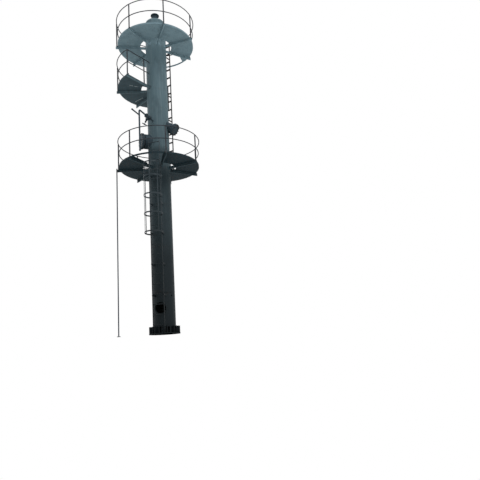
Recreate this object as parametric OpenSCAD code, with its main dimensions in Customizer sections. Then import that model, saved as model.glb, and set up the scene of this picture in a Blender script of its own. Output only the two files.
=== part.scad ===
// Distillation column: a slender steel vessel on a skirt, with two ring platforms,
// a half platform between them, a caged ladder below and a plain ladder above.
// Millimetres, +Z up. The origin is the centre of the base ring's underside.
// Azimuths run counter-clockwise from +X, seen from above; the front is at 270.

/* [Vessel] */
// Outside diameter of the shell
shell_od = 816; // [780:4:840]
// Wall thickness of the shell
shell_t = 10; // [8:1:14]
// Height of the weld line between the shell and the bottom head
shell_bottom_z = 1500; // [1400:20:1700]
// Height of the weld line between the shell and the top head
shell_top_z = 12560; // [12500:20:12800]
// Straight rim of each dished head
head_rim = 25; // [20:1:40]
// Height of the weld between the lower and the middle course of the shell
course_1_z = 4800; // [4200:50:5400]
// Height of the weld between the middle and the upper course of the shell
course_2_z = 8700; // [8400:50:9300]

/* [Base] */
// Outside diameter of the base ring
base_od = 1120; // [1100:10:1200]
// Thickness of the base ring
base_t = 25; // [16:1:40]
// Number of anchor bolts
anchor_n = 12; // [8:4:12]
// Diameter of the circle of anchor bolts
anchor_pcd = 1000; // [990:5:1020]
// Diameter of each anchor hole
anchor_d = 33; // [24:1:40]
// Height of an anchor chair over the base ring
chair_h = 220; // [150:10:300]
// Thickness of the upright plates of a chair
chair_t = 14; // [10:1:20]

/* [Skirt opening] */
// Azimuth of the access opening
hole_az = 254; // [248:1:260]
// Height of the middle of the access opening
hole_z = 905; // [850:5:950]
// Inside diameter of the access opening
hole_d = 400; // [320:10:420]
// How far its collar stands out of the skirt
hole_out = 50; // [40:5:60]

/* [Platforms] */
// Height of the lower ring platform's tread
low_z = 6300; // [6200:10:6400]
// Height of the half platform's tread
mid_z = 9640; // [9500:10:9700]
// Height of the upper ring platform's tread
top_z = 11560; // [11500:10:11650]
// Outside radius of the deck plates
deck_r = 1510; // [1450:5:1550]
// Inside radius of the deck plates
deck_in_r = 620; // [605:5:630]
// Thickness of the deck plates
deck_t = 6; // [5:1:8]
// Azimuth where the opening in the lower deck starts
low_open_from = 228.5; // [228:0.5:229]
// Azimuth where the opening in the lower deck ends
low_open_to = 275; // [274:0.5:277]
// Azimuth where the opening in the upper deck starts
top_open_from = 26.5; // [26:0.5:27]
// Azimuth where the opening in the upper deck ends
top_open_to = 75.5; // [75:0.5:76]
// Azimuth of the half platform's end by the ladder
mid_from = 71.5; // [71.5:0.5:72.5]
// Azimuth of the half platform's other end
mid_to = 227; // [222:0.5:230]
// Height of the curb that edges each deck, over its tread
curb_h = 60; // [50:5:100]
// Thickness of the curb
curb_t = 6; // [4:1:8]

/* [Beams] */
// Number of radial beams under a ring platform
beam_n = 7; // [7:1:7]
// Azimuth of the first beam under the lower platform
low_beam_az = 22; // [21:0.5:23]
// Azimuth of the first beam under the upper platform
top_beam_az = 25; // [24.5:0.5:25]
// Depth of a beam
beam_h = 90; // [70:5:110]
// Width of a beam
beam_w = 44; // [40:2:44]
// Thickness of a beam's web and flanges
beam_t = 8; // [6:1:10]
// How far a beam's outer end reaches past the posts
beam_over = 20; // [15:1:40]

/* [Handrails] */
// Height of the top rail over a tread
rail_h = 1050; // [1000:10:1200]
// Height of the middle rail over a tread
knee_h = 575; // [500:5:620]
// Diameter of the rails
rail_d = 34; // [28:1:38]
// Diameter of the posts
post_d = 48; // [42:1:50]
// Distance from a deck plate's edge to the middle of the posts
post_out = 46; // [40:1:50]
// Radius of the inner post on the half platform's open side
inner_post_r = 700; // [680:10:760]

/* [Ladders] */
// Azimuth of the lower ladder
low_ladder_az = 251.5; // [251:0.5:252]
// Azimuth of the upper ladder
top_ladder_az = 49; // [48.5:0.5:49]
// Distance of a ladder's middle from the axis
ladder_r = 600; // [595:1:605]
// Clear width of a ladder
ladder_w = 410; // [400:5:410]
// Width of a stringer, from the shell's side to the climber's side
stringer_w = 60; // [50:2:60]
// Thickness of a stringer
stringer_t = 10; // [6:1:10]
// Diameter of a rung
rung_d = 30; // [20:1:34]
// Distance from rung to rung
rung_pitch = 360; // [300:10:380]
// How far a ladder stands over the deck that it serves
ladder_over = 960; // [900:10:1100]
// Height of the lower ladder's foot
ladder_foot = 150; // [100:10:200]
// Thickness of a ladder stay
stay_t = 8; // [6:1:10]
// Height of a ladder stay's flat bar
stay_h = 60; // [50:2:60]
// Heights of the lower ladder's stays, apart from the one over the lowest hoop
low_stay_zs = [1350, 2470, 4750, 5850];
// Heights of the upper ladder's stays
top_stay_zs = [6900, 8400, 9480, 11200];

/* [Cage] */
// Radius of the cage hoops, to their inside
hoop_in_r = 329; // [320:1:335]
// Height of the lowest hoop
hoop_low_z = 3530; // [3400:10:3600]
// Distance from hoop to hoop
hoop_pitch = 700; // [650:10:720]
// Height of the flat bar that a hoop is bent from
hoop_w = 50; // [40:2:50]
// Thickness of the flat bar that a hoop is bent from
hoop_t = 6; // [4:1:8]
// Width of the upright straps inside the hoops
strap_w = 40; // [30:2:40]
// Thickness of the upright straps
strap_t = 5; // [4:1:6]

/* [Manway] */
// Azimuth of the manway
man_az = 196; // [190:1:198]
// Height of the manway's middle
man_z = 7345; // [7300:5:7400]
// Outside diameter of the manway's neck
man_neck_d = 480; // [440:5:500]
// Diameter of the manway's flange and cover
man_flange_d = 620; // [600:5:640]
// Thickness of the manway's flange
man_flange_t = 32; // [24:1:36]
// Thickness of the manway's cover
man_cover_t = 36; // [28:1:40]
// Distance of the manway's joint face from the axis
man_face_r = 665; // [650:5:700]

/* [Drain nozzle] */
// Azimuth of the sloping nozzle
side_az = 340; // [336:1:344]
// Height where the sloping nozzle's axis meets the shell
side_z = 7985; // [7950:5:8020]
// Slope of the nozzle's axis below the horizontal
side_slope = 34; // [30:1:38]
// Outside diameter of its neck
side_neck_d = 219; // [200:1:219]
// Diameter of its flange and cover
side_flange_d = 340; // [330:5:350]
// Length from the shell to its joint face, along its axis
side_len = 300; // [290:5:330]

/* [Feed line] */
// Azimuth of the feed line
feed_az = 242; // [241:1:243]
// Height of the feed nozzle's axis
feed_z = 8110; // [8080:5:8150]
// Outside diameter of the feed pipe
feed_d = 60; // [54:1:60]
// Wall thickness of the feed pipe
feed_t = 4; // [3:1:5]
// Diameter of its flanges
feed_flange_d = 165; // [150:5:170]
// Thickness of its flanges
feed_flange_t = 18; // [14:1:20]
// Distance of the nozzle's joint face from the axis
feed_face_r = 680; // [670:5:700]
// Length of the valve from face to face
valve_len = 230; // [220:5:250]
// Length from the valve's axis to its handwheel
valve_stem = 310; // [290:5:330]
// Diameter of the handwheel
wheel_d = 200; // [160:5:220]
// Radius of the vertical part of the feed pipe
drop_r = 1440; // [1430:5:1445]
// Height of the feed pipe's lower end
drop_low_z = 6500; // [6450:10:6600]
// Height of the branch of the feed pipe
branch_z = 7895; // [7850:5:7920]
// Distance of the branch's blind end from the axis
branch_r = 1930; // [1880:10:1950]

/* [Riser and top nozzle] */
// Diameter of the riser pipe outside the lower platform
riser_d = 42; // [38:1:48]
// Outside diameter of the vapour nozzle's neck
vap_d = 219; // [200:1:219]
// Height of the vapour nozzle's joint face over the weld line under the top head
vap_h = 490; // [440:10:640]

/* [Hidden] */
$fn = 64;
seat = 0.3;
shell_r = shell_od / 2;
shell_in_r = shell_r - shell_t;
head_h = shell_r / 2;
skirt_top_z = shell_bottom_z - head_rim - head_h * sqrt(1 - pow(shell_in_r / shell_r, 2)) - seat;
vap_z = shell_top_z + vap_h;
post_r = deck_r + post_out;
beam_end_r = post_r + post_d / 2 + beam_over;
rail_in_r = post_r - (post_d + rail_d) / 2 - seat;
beam_top = -deck_t;
half_w = ladder_w / 2 + stringer_t;
cage_out = sqrt(pow(hoop_in_r, 2) - pow(half_w + seat, 2));
hoop_top_z = low_z - deck_t - beam_h - hoop_w - 10;
hoop_zs = concat([for (z = [hoop_low_z : hoop_pitch : hoop_top_z - 400]) z], [hoop_top_z]);
valve_out_r = feed_face_r + valve_len;
bend_r = 76;
low_beams = [for (i = [0 : beam_n - 1]) low_beam_az + i * 360 / beam_n];
top_beams = [for (i = [0 : beam_n - 1]) top_beam_az + i * 360 / beam_n];
mid_beams = [for (i = [0 : 3]) mid_from + 1.2 + i * (mid_to - mid_from - 2.4) / 3];
riser_az = low_beams[3];

// Places children at an azimuth, a radius and a height, with +X pointing outward
module at_az(az, r, z) {
    rotate([0, 0, az]) translate([r, 0, z]) children();
}

// A ring of rectangular section from azimuth a0 to azimuth a1
module band(r_in, r_out, h, a0 = 0, a1 = 360) {
    rotate([0, 0, a0]) rotate_extrude(angle = a1 - a0)
        translate([r_in, 0]) square([r_out - r_in, h]);
}

// A bent bar of round section from azimuth a0 to azimuth a1
module bent_bar(r, d, a0 = 0, a1 = 360) {
    rotate([0, 0, a0]) rotate_extrude(angle = a1 - a0) translate([r, 0]) circle(d = d, $fn = 24);
}

// A round bar lying along +X from x0 to x1
module bar_x(d, x0, x1) {
    translate([x0, 0, 0]) rotate([0, 90, 0]) cylinder(d = d, h = x1 - x0);
}

// A tube lying along +X from x0 to x1
module tube_x(d_out, d_in, x0, x1) {
    difference() {
        bar_x(d_out, x0, x1);
        bar_x(d_in, x0 - 1, x1 + 1);
    }
}

// Keeps the part of its children between azimuths a0 and a1, less than half a turn wide
module arc_of(a0, a1, z0, z1) {
    intersection() {
        children();
        sector(a0, a1, z0, z1);
    }
}

// A prism over the sector from azimuth a0 to azimuth a1, less than half a turn wide
module sector(a0, a1, z0, z1) {
    reach = 2 * deck_r;
    translate([0, 0, z0]) linear_extrude(z1 - z0) polygon([
        [0, 0], [reach * cos(a0), reach * sin(a0)],
        [reach * cos((a0 + a1) / 2), reach * sin((a0 + a1) / 2)], [reach * cos(a1), reach * sin(a1)]
    ]);
}

// Points of a quarter of an ellipse, from the rim to the crown
function dish(r, h, n = 24) = [for (i = [0 : n]) [r * cos(90 * i / n), h * sin(90 * i / n)]];

// A dished head with a straight rim, its open side at z = 0
module head() {
    inside = dish(shell_in_r, head_h - shell_t);
    rotate_extrude() polygon(concat(
        [[shell_in_r, 0], [shell_r, 0]],
        [for (p = dish(shell_r, head_h)) [p[0], p[1] + head_rim]],
        [for (i = [len(inside) - 1 : -1 : 0]) [inside[i][0], inside[i][1] + head_rim]]
    ));
}

module base_ring() {
    color("slategray") difference() {
        cylinder(d = base_od, h = base_t);
        translate([0, 0, -1]) cylinder(r = shell_in_r - 90, h = base_t + 2);
        for (i = [0 : anchor_n - 1])
            at_az((i + 0.5) * 360 / anchor_n, anchor_pcd / 2, -1) cylinder(d = anchor_d, h = base_t + 2);
    }
}

// Two upright plates and a drilled cap over each anchor bolt
module anchor_chairs() {
    cap_w = 130;
    cap_t = 20;
    gap = anchor_d + 50;
    reach = base_od / 2 - 8 - shell_r;
    color("slategray") for (i = [0 : anchor_n - 1]) rotate([0, 0, (i + 0.5) * 360 / anchor_n])
        difference() {
            translate([shell_r - 5, 0, base_t]) {
                for (s = [-1, 1]) translate([0, s * (gap + chair_t) / 2 - chair_t / 2, 0])
                    cube([reach + 5, chair_t, chair_h + 1]);
                translate([0, -cap_w / 2, chair_h]) cube([reach + 5, cap_w, cap_t]);
            }
            cylinder(r = shell_r, h = base_t + chair_h + cap_t + 1);
            translate([anchor_pcd / 2, 0, 0]) cylinder(d = anchor_d, h = base_t + chair_h + cap_t + 1);
        }
}

// The skirt, with its access opening and four vents under the bottom head
module skirt() {
    color("slategray") difference() {
        translate([0, 0, base_t]) cylinder(r = shell_r, h = skirt_top_z - base_t);
        cylinder(r = shell_in_r, h = skirt_top_z + 1);
        rotate([0, 0, hole_az]) translate([0, 0, hole_z]) bar_x(hole_d + 2 * shell_t, 0, shell_od);
        for (a = [45 : 90 : 315]) rotate([0, 0, a]) translate([0, 0, skirt_top_z - 90]) bar_x(60, 0, shell_od);
    }
}

module skirt_collar() {
    color("slategray") rotate([0, 0, hole_az]) translate([0, 0, hole_z])
        tube_x(hole_d + 2 * shell_t - 2 * seat, hole_d, shell_r - 90, shell_r + hole_out);
}

module bottom_head() {
    color("slategray") translate([0, 0, shell_bottom_z]) mirror([0, 0, 1]) head();
}

module shell_course(z0, z1) {
    color("slategray") translate([0, 0, z0]) difference() {
        cylinder(r = shell_r, h = z1 - z0);
        translate([0, 0, -1]) cylinder(r = shell_in_r, h = z1 - z0 + 2);
    }
}

module shell_lower() {
    shell_course(shell_bottom_z, course_1_z);
}

// The middle course is pierced for the manway, the drain nozzle and the feed nozzle
module shell_middle() {
    color("slategray") difference() {
        shell_course(course_1_z, course_2_z);
        rotate([0, 0, man_az]) translate([0, 0, man_z]) bar_x(man_neck_d + 2 * seat, 0, shell_od);
        drain_axis() bar_x(side_neck_d + 2 * seat, -150, 300);
        rotate([0, 0, feed_az]) translate([0, 0, feed_z]) bar_x(feed_d + 2 * seat, 0, shell_od);
    }
}

module shell_upper() {
    shell_course(course_2_z, shell_top_z);
}

module top_head() {
    color("slategray") difference() {
        translate([0, 0, shell_top_z]) head();
        translate([0, 0, shell_top_z]) cylinder(d = vap_d + 2 * seat, h = 400);
    }
}

// The vapour outlet: a neck through the crown, with a drilled flange
module vapour_nozzle() {
    flange_t = 26;
    neck_low = shell_top_z + head_rim + head_h - 45;
    color("slategray") difference() {
        union() {
            translate([0, 0, neck_low]) cylinder(d = vap_d, h = vap_z - neck_low);
            translate([0, 0, vap_z - flange_t]) cylinder(d = vap_d + 121, h = flange_t);
        }
        translate([0, 0, neck_low - 1]) cylinder(d = vap_d - 16, h = vap_z);
        for (i = [0 : 7]) at_az((i + 0.5) * 45, (vap_d + 76) / 2, vap_z - flange_t - 1)
            cylinder(d = 22, h = flange_t + 2);
    }
}

// Two lifting lugs near the top of the shell
module lifting_lugs() {
    lug_z = shell_top_z - 230;
    color("slategray") for (a = [0, 180]) rotate([0, 0, a]) difference() {
        union() {
            translate([shell_r - 5, -10, lug_z - 160]) cube([75, 20, 200]);
            translate([shell_r + 70, 10, lug_z - 30]) rotate([90, 0, 0]) cylinder(r = 70, h = 20);
        }
        translate([shell_r + 70, 20, lug_z - 30]) rotate([90, 0, 0]) cylinder(d = 60, h = 40);
        translate([0, 0, lug_z - 300]) cylinder(r = shell_r, h = 400);
    }
}

module manway_neck() {
    color("slategray") rotate([0, 0, man_az]) translate([0, 0, man_z])
        tube_x(man_neck_d, man_neck_d - 2 * shell_t, shell_r - 95, man_face_r - man_flange_t);
}

module manway_flange() {
    color("slategray") rotate([0, 0, man_az]) translate([0, 0, man_z])
        tube_x(man_flange_d, man_neck_d - 2 * shell_t, man_face_r - man_flange_t, man_face_r);
}

// The blind cover, with a handle across its face
module manway_cover() {
    face = man_face_r + seat + man_cover_t;
    color("slategray") rotate([0, 0, man_az]) translate([0, 0, man_z]) {
        bar_x(man_flange_d, man_face_r + seat, face);
        for (s = [-1, 1]) translate([0, s * 90, 0]) bar_x(18, face - 2, face + 60);
        translate([face + 60, 99, 0]) rotate([90, 0, 0]) cylinder(d = 18, h = 198);
    }
}

// The hinge beside the cover: two straps and a pin that the cover swings on
module manway_hinge() {
    pin_y = -man_flange_d / 2 - 45;
    reach = man_flange_t + man_cover_t;
    color("slategray") rotate([0, 0, man_az]) translate([man_face_r, 0, man_z]) {
        translate([0, pin_y, -110]) cylinder(d = 30, h = 220);
        for (z = [-90, 60]) difference() {
            translate([-man_flange_t, pin_y - 12, z]) cube([reach, 100, 30]);
            bar_x(man_flange_d + 2 * seat, -man_flange_t - 1, reach + 1);
        }
    }
}

// Places children on the drain nozzle's axis, with +X pointing down and outward
module drain_axis() {
    at_az(side_az, shell_r, side_z) rotate([0, side_slope, 0]) children();
}

module drain_nozzle() {
    color("slategray") difference() {
        drain_axis() {
            tube_x(side_neck_d, side_neck_d - 16, -95, side_len - 20);
            tube_x(side_flange_d, side_neck_d - 16, side_len - 24, side_len);
        }
        translate([0, 0, side_z - 400]) cylinder(r = shell_in_r - 12, h = 800);
    }
}

module drain_cover() {
    color("slategray") drain_axis() bar_x(side_flange_d, side_len + seat, side_len + 26);
}

module feed_nozzle() {
    color("slategray") rotate([0, 0, feed_az]) translate([0, 0, feed_z]) difference() {
        union() {
            bar_x(feed_d, shell_in_r - 20, feed_face_r);
            bar_x(feed_flange_d, feed_face_r - feed_flange_t, feed_face_r);
        }
        bar_x(feed_d - 2 * feed_t, shell_in_r - 21, feed_face_r + 1);
    }
}

// Turns children about the feed valve, so that +Z points along its stem
module stem_axis() {
    rotate([0, 0, feed_az]) translate([feed_face_r + valve_len / 2, 0, feed_z]) rotate([148, 0, 0]) children();
}

// A flanged gate valve with its bonnet and yoke hanging down to one side
module feed_valve() {
    color("slategray") {
        rotate([0, 0, feed_az]) translate([0, 0, feed_z]) difference() {
            union() {
                for (x = [feed_face_r + seat, valve_out_r - feed_flange_t - seat])
                    bar_x(feed_flange_d, x, x + feed_flange_t);
                bar_x(90, feed_face_r + 10, valve_out_r - 10);
                translate([feed_face_r + valve_len / 2, 0, 0]) sphere(d = 130);
            }
            bar_x(feed_d - 2 * feed_t, feed_face_r - 1, valve_out_r + 1);
        }
        stem_axis() {
            translate([0, 0, 55]) cylinder(d = 84, h = 60);
            translate([0, 0, 100]) cylinder(d = 120, h = 24);
            for (s = [-1, 1]) translate([s * 34 - 7, -9, 120]) cube([14, 18, 96]);
            translate([-41, -14, 210]) cube([82, 28, 22]);
            translate([0, 0, 120]) cylinder(d = 22, h = valve_stem - 120 - 14);
        }
    }
}

module feed_handwheel() {
    rim_d = 18;
    color("slategray") stem_axis() translate([0, 0, valve_stem]) {
        bent_bar((wheel_d - rim_d) / 2, rim_d);
        for (a = [0 : 90 : 270]) rotate([0, 0, a]) bar_x(12, 10, (wheel_d - rim_d) / 2);
        translate([0, 0, -14 + seat]) cylinder(d = 40, h = 28);
    }
}

// The feed pipe's outline for one diameter: out, round the bend and down
module feed_run(d, over) {
    corner = drop_r - bend_r;
    bar_x(d, valve_out_r - over, corner);
    translate([corner, 0, -bend_r]) rotate([90, 0, 0])
        rotate_extrude(angle = 90) translate([bend_r, 0]) circle(d = d);
    translate([drop_r, 0, drop_low_z - feed_z - over]) cylinder(d = d, h = feed_z - drop_low_z - bend_r + over);
}

// The branch is a little thinner than the pipe that it leaves
module feed_pipe() {
    branch_d = feed_d - 10;
    color("slategray") rotate([0, 0, feed_az]) translate([0, 0, feed_z]) difference() {
        union() {
            feed_run(feed_d, 0);
            bar_x(feed_flange_d, valve_out_r, valve_out_r + feed_flange_t);
            translate([0, 0, branch_z - feed_z]) {
                bar_x(branch_d, drop_r, branch_r);
                bar_x(branch_d + 14, branch_r - 30, branch_r + 12);
            }
            translate([drop_r, 0, drop_low_z - feed_z]) cylinder(d = feed_d + 14, h = 40);
        }
        feed_run(feed_d - 2 * feed_t, 1);
        translate([0, 0, branch_z - feed_z]) bar_x(branch_d - 2 * feed_t, drop_r, branch_r);
    }
}

// A slim riser clamped to a beam's end, standing on a foot plate
module riser_pipe() {
    color("silver") at_az(riser_az, beam_end_r + riser_d / 2 + seat, 0) {
        cylinder(d = riser_d, h = low_z + 40);
        translate([-60, -60, 0]) cube([120, 120, 10]);
    }
}

// A deck ring with its tread at height z, open from azimuth a0 to azimuth a1
module ring_deck(z, a0, a1) {
    color("dimgray") difference() {
        translate([0, 0, z - deck_t]) band(deck_in_r, deck_r, deck_t);
        sector(a0, a1, z - deck_t - 1, z + 1);
    }
}

// The flat bar on edge that runs round a deck plate
module curb(z) {
    color("dimgray") translate([0, 0, z - deck_t]) band(deck_r + seat, deck_r + curb_t, deck_t + curb_h);
}

// Cantilevered beams of I section under a deck, each with a pad on the round shell
module beams(z, azimuths) {
    pad_t = 10;
    low = z + beam_top - beam_h;
    side = (beam_w - beam_t) / 2;
    color("dimgray") for (a = azimuths) difference() {
        rotate([0, 0, a]) {
            translate([shell_r - 5, 0, low]) difference() {
                translate([0, -beam_w / 2, 0]) cube([beam_end_r - shell_r + 5, beam_w, beam_h]);
                for (s = [0, 1]) translate([pad_t + 10, s * (side + beam_t) - beam_w / 2 - (1 - s), beam_t])
                    cube([beam_end_r, side + 1, beam_h - 2 * beam_t]);
            }
            translate([0, 0, low - 30]) band(shell_r - 5, shell_r + pad_t, beam_h + 30 - seat, -11, 11);
        }
        translate([0, 0, low - 31]) cylinder(r = shell_r, h = beam_h + 32);
    }
}

// Posts that stand on the beams' ends
module posts(z, azimuths) {
    color("silver") for (a = azimuths) at_az(a, post_r, z + beam_top)
        cylinder(d = post_d, h = deck_t + rail_h - rail_d / 2 - seat, $fn = 24);
}

// A top rail over the posts and a middle rail on their inner side
module rails(z) {
    color("silver") {
        translate([0, 0, z + rail_h]) bent_bar(post_r, rail_d);
        translate([0, 0, z + knee_h]) bent_bar(rail_in_r, rail_d);
    }
}

module lower_deck() {
    ring_deck(low_z, low_open_from, low_open_to);
}

module lower_curb() {
    curb(low_z);
}

module lower_beams() {
    beams(low_z, low_beams);
}

module lower_posts() {
    posts(low_z, low_beams);
}

module lower_rails() {
    rails(low_z);
}

module half_deck() {
    color("dimgray") arc_of(mid_from, mid_to, mid_z - deck_t - 1, mid_z + 1)
        translate([0, 0, mid_z - deck_t]) band(deck_in_r, deck_r, deck_t, $fn = 180);
}

module half_curb() {
    color("dimgray") arc_of(mid_from, mid_to, mid_z - deck_t - 1, mid_z + curb_h + 1) curb(mid_z, $fn = 180);
}

module half_beams() {
    beams(mid_z, mid_beams);
}

module half_posts() {
    posts(mid_z, mid_beams);
    color("silver") at_az(mid_beams[3], inner_post_r, mid_z + seat)
        cylinder(d = post_d, h = rail_h - rail_d / 2 - 2 * seat, $fn = 24);
}

// The rails follow the curved edge, and others run from its end to the shell
module half_rails() {
    side_y = -(post_d + rail_d) / 2 - seat;
    color("silver") {
        arc_of(mid_beams[0] - 0.5, mid_beams[3] + 0.8, mid_z, mid_z + rail_h + rail_d) rails(mid_z, $fn = 180);
        difference() {
            rotate([0, 0, mid_beams[3]]) {
                translate([0, 0, mid_z + rail_h]) bar_x(rail_d, shell_r - 20, post_r - rail_d / 2 - seat);
                translate([0, side_y, mid_z + knee_h]) bar_x(rail_d, shell_r - 20, rail_in_r - rail_d / 2 - 1);
            }
            translate([0, 0, mid_z]) cylinder(r = shell_r, h = rail_h + 100);
        }
    }
}

module upper_deck() {
    ring_deck(top_z, top_open_from, top_open_to);
}

module upper_curb() {
    curb(top_z);
}

module upper_beams() {
    beams(top_z, top_beams);
}

module upper_posts() {
    posts(top_z, top_beams);
}

module upper_rails() {
    rails(top_z);
}

// A ladder at an azimuth from height z0 to height z1
module ladder(az, z0, z1) {
    rungs = floor((z1 - z0 - 150) / rung_pitch);
    color("sienna") rotate([0, 0, az]) translate([ladder_r, 0, 0]) {
        for (s = [-1, 1]) translate([-stringer_w / 2, s * (half_w - stringer_t / 2) - stringer_t / 2, z0])
            cube([stringer_w, stringer_t, z1 - z0]);
        for (i = [0 : rungs]) translate([0, ladder_w / 2 + 1, z0 + 150 + i * rung_pitch])
            rotate([90, 0, 0]) cylinder(d = rung_d, h = ladder_w + 2, $fn = 24);
    }
}

// Flat stays from the shell to the stringers, at the heights in a list
module stays(az, heights) {
    color("dimgray") for (z = heights) difference() {
        rotate([0, 0, az]) for (s = [-1, 1])
            translate([shell_r / 2, s * (half_w + seat + stay_t / 2) - stay_t / 2, z - stay_h / 2])
                cube([ladder_r + 10 - shell_r / 2, stay_t, stay_h]);
        translate([0, 0, z - stay_h]) cylinder(r = shell_r, h = 2 * stay_h);
    }
}

module lower_ladder() {
    ladder(low_ladder_az, ladder_foot, low_z + ladder_over);
}

module lower_stays() {
    stays(low_ladder_az, concat(low_stay_zs, [hoop_low_z + hoop_w + stay_h / 2 + 10]));
}

// Hoops of flat bar, each with two tails on the stringers' outer faces
module cage_hoops() {
    tail = 30;
    gap = half_w + seat + hoop_t / 3;
    color("dimgray") for (z = hoop_zs) rotate([0, 0, low_ladder_az]) translate([ladder_r, 0, z]) {
        translate([cage_out, 0, 0]) difference() {
            band(hoop_in_r, hoop_in_r + hoop_t, hoop_w);
            translate([-2 * hoop_in_r, -gap, -1]) cube([2 * hoop_in_r, 2 * gap, hoop_w + 2]);
        }
        for (s = [-1, 1]) translate([-tail, s * (half_w + seat + hoop_t / 2) - hoop_t / 2, 0])
            cube([tail + 8, hoop_t, hoop_w]);
    }
}

module cage_straps() {
    color("dimgray") at_az(low_ladder_az, ladder_r + cage_out, 0) for (a = [-104, -52, 0, 52, 104]) rotate([0, 0, a])
        translate([hoop_in_r - strap_t - 0.8, -strap_w / 2, hoop_low_z])
            cube([strap_t, strap_w, hoop_top_z + hoop_w - hoop_low_z]);
}

module upper_ladder() {
    ladder(top_ladder_az, low_z + seat, top_z + ladder_over);
}

module upper_stays() {
    stays(top_ladder_az, top_stay_zs);
}

base_ring();
anchor_chairs();
skirt();
skirt_collar();
bottom_head();
shell_lower();
shell_middle();
shell_upper();
top_head();
vapour_nozzle();
lifting_lugs();
manway_neck();
manway_flange();
manway_cover();
manway_hinge();
drain_nozzle();
drain_cover();
feed_nozzle();
feed_valve();
feed_handwheel();
feed_pipe();
riser_pipe();
lower_deck();
lower_curb();
lower_beams();
lower_posts();
lower_rails();
half_deck();
half_curb();
half_beams();
half_posts();
half_rails();
upper_deck();
upper_curb();
upper_beams();
upper_posts();
upper_rails();
lower_ladder();
lower_stays();
cage_hoops();
cage_straps();
upper_ladder();
upper_stays();
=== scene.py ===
"""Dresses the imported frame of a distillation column: paints, seams, pads, studs, clamps and a plain stage.

It also makes a wider drain nozzle, a collar on the manway and the plates that narrow the decks' openings.
Sizes are named in millimetres and turned to metres by MM. Azimuths run counter-clockwise from +X.
"""

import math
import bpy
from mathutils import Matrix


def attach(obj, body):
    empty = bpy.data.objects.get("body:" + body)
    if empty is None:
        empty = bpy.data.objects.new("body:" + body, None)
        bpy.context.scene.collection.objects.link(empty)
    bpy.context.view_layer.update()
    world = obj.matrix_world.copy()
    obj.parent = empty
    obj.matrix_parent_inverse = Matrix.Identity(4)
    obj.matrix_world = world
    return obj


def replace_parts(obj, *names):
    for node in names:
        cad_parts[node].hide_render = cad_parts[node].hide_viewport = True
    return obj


bl_info = {
    "name": "Distillation Column Dressing",
    "version": (1, 0, 0),
    "blender": (4, 5, 0),
    "location": "View3D > Sidebar > Column",
    "description": "Adds paints, weld seams, pads, studs and clamps to the frame of a distillation column",
    "category": "Object",
}

import bmesh
import bpy
from mathutils import Matrix
from mathutils import Vector

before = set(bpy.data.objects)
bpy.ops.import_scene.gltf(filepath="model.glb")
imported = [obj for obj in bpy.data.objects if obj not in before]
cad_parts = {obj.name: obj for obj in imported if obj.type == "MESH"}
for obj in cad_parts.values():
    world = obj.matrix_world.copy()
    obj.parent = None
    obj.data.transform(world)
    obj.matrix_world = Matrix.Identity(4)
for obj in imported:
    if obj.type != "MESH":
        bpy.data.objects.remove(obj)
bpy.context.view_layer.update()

MM = 0.001

# Vessel: its whole height in metres, and the rest in millimetres
TOP_M = 13.05
SHELL_R = 408
BASE_T = 25
HEAD_SEAMS = (1500, 12560)
COURSE_SEAMS = (3150, 4800, 6750, 8700, 10630)
LONG_SEAM_AZ = (148, 20, 118, 335, 160, 300)

# Nozzles: azimuth, height and slope of the axis, radius of the neck or of the collar round it, radius of
# the pad, and width of the weld
MANWAY = {"az": 196, "z": 7345, "slope": 0, "neck": 282, "pad": 345, "bead": 22}
DRAIN = {"az": 340, "z": 7985, "slope": 34, "neck": 164, "pad": 232, "bead": 18}
FEED = {"az": 242, "z": 8110, "slope": 0, "neck": 30, "pad": 62, "bead": 12}
SKIRT_HOLE = {"az": 254, "z": 905, "slope": 0, "neck": 210, "bead": 14}
MAN_FACE_R = 665
MAN_FLANGE_T = 32
MAN_COVER_T = 36
MAN_NECK_R = 240
MAN_STUD_R = 276
MAN_GASKET_R = 309
DRAIN_LEN = 300
DRAIN_FLANGE_R = 236
DRAIN_FLANGE_T = 48
DRAIN_COVER_T = 46
DRAIN_FACE_R = 172
DRAIN_STUDS = 12
DRAIN_STUD_R = 201
GASKET_T = 2.5
FEED_FACE_R = 680
FEED_FLANGE_T = 18
FEED_STUDS = 4
FEED_STUD_R = 62.5
FEED_GASKET_R = 81.5
# The valve lies between two flanges, with its stem turned away from upright
VALVE_LEN = 230
STEM_TURN = 148
STEM_TOP = 324
BONNET_STUDS = 6
BONNET_STUD_R = 51
BONNET_UNDER = 100
# Four vents under the bottom head
VENTS = tuple({"az": az, "z": 1339, "slope": 0, "neck": 31, "bead": 8} for az in (45, 135, 225, 315))

# Platforms
LOW_Z = 6300
HALF_Z = 9640
TOP_Z = 11560
DECK_R = 1510
DECK_IN_R = 620
POST_R = 1556
RAIL_IN_R = 1514.7
RAIL_H = 1050
KNEE_H = 575
DECK_T = 6
LOW_BEAMS = tuple(22 + i * 360 / 7 for i in range(7))
TOP_BEAMS = tuple(25 + i * 360 / 7 for i in range(7))
HALF_BEAMS = tuple(72.7 + i * 153.1 / 3 for i in range(4))
PLATFORMS = ((LOW_Z, LOW_BEAMS), (HALF_Z, HALF_BEAMS), (TOP_Z, TOP_BEAMS))

# Plates that narrow the gap round the shell and the ladder openings: level, inner and outer radius, and
# first and last azimuth
GAP_R = 432
OPENING_R = 700
INFILLS = (
    (LOW_Z, OPENING_R, DECK_R, 228.5, 234),
    (LOW_Z, GAP_R, DECK_IN_R, 8, 172),
    (HALF_Z, GAP_R, DECK_IN_R, 71.5, 169),
    (HALF_Z, GAP_R, DECK_IN_R, 206, 227),
)
# The upper opening's side runs along a beam, LIP_SIDE from its axis, and slants off past LIP_R
LIP_AZ = 25
LIP_FROM = 26.5
LIP_TO = 90
LIP_SIDE = 120
LIP_R = 1140
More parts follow.
